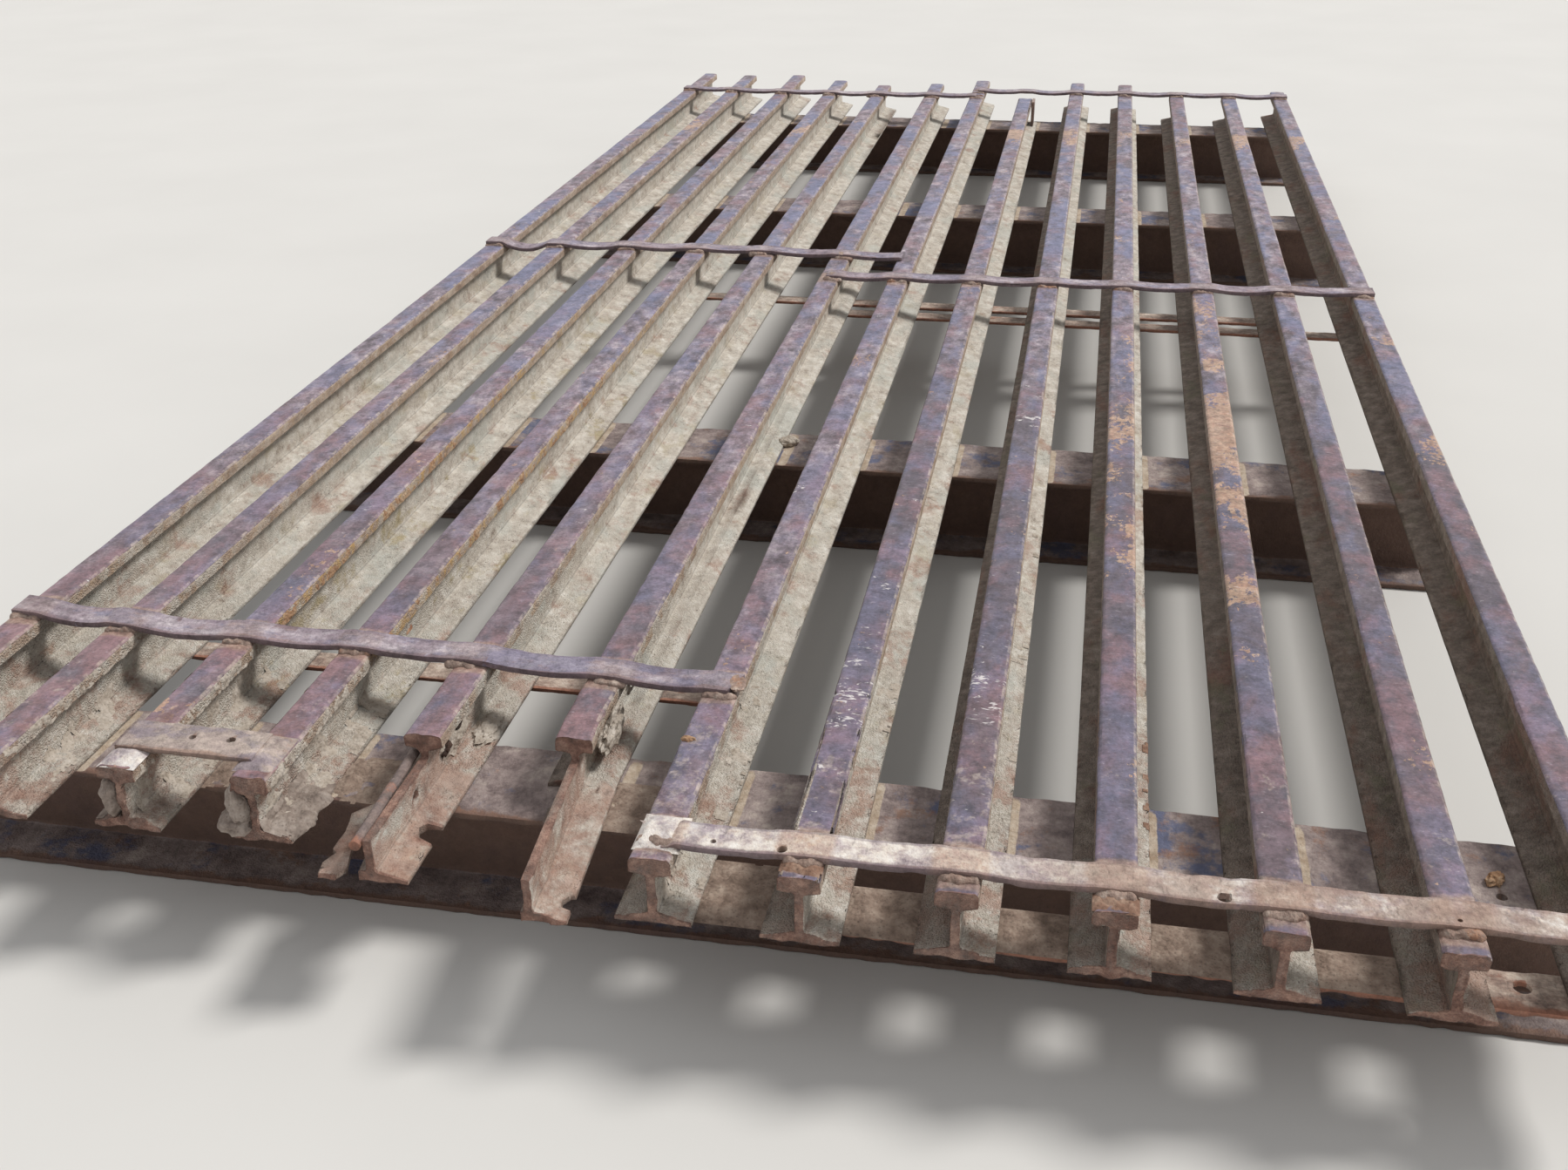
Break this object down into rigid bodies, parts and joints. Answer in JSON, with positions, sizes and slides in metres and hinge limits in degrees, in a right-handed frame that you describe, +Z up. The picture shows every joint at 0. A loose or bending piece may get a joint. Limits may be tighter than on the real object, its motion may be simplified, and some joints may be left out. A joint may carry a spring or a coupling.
{
  "type": "cattle grid made of railway rails",
  "caption": "Worn cattle grid: parallel flat-bottom railway rails on wide-flange cross beams, tied by welded flat bars, broken at one front corner.",
  "frame": {"origin": "on the ground under the middle of the grid", "axes": "+X across the rails to the right, +Y along the rails from the broken front ends to the back, +Z up"},
  "size_m": [2.6626, 5.873, 0.3237],
  "materials": {
    "rail_steel": "old hot-rolled rail steel, heads worn purple-brown, webs dusty tan over rust",
    "beam_steel": "blue-black mill scale breaking to rust at the edges",
    "bar_steel": "worn flat bar, purple-brown with dusty patches",
    "strap_steel": "rusty flat bar under dried mud"
  },
  "bodies": {
    "root": {"rail_01": "rail_steel", "rail_02": "rail_steel", "rail_03": "rail_steel", "rail_04": "rail_steel", "rail_05": "rail_steel", "rail_06": "rail_steel", "rail_07": "rail_steel", "rail_08": "rail_steel", "rail_09": "rail_steel", "rail_10": "rail_steel", "rail_11": "rail_steel", "rail_12": "rail_steel", "rail_13": "rail_steel", "front_cross_beam": "beam_steel", "front_middle_cross_beam": "beam_steel", "rear_middle_cross_beam": "beam_steel", "rear_cross_beam": "beam_steel", "front_left_top_bar": "bar_steel", "front_right_top_bar": "bar_steel", "middle_left_top_bar": "bar_steel", "middle_right_top_bar": "bar_steel", "rear_left_top_bar": "bar_steel", "rear_right_top_bar": "bar_steel", "front_sole_plate": "strap_steel", "front_under_strap": "strap_steel", "middle_under_strap_front": "strap_steel", "middle_under_strap_rear": "strap_steel", "patch_plate": "strap_steel", "edge_rod": "strap_steel", "torn_side_plate": "strap_steel"}
  },
  "joints": []
}
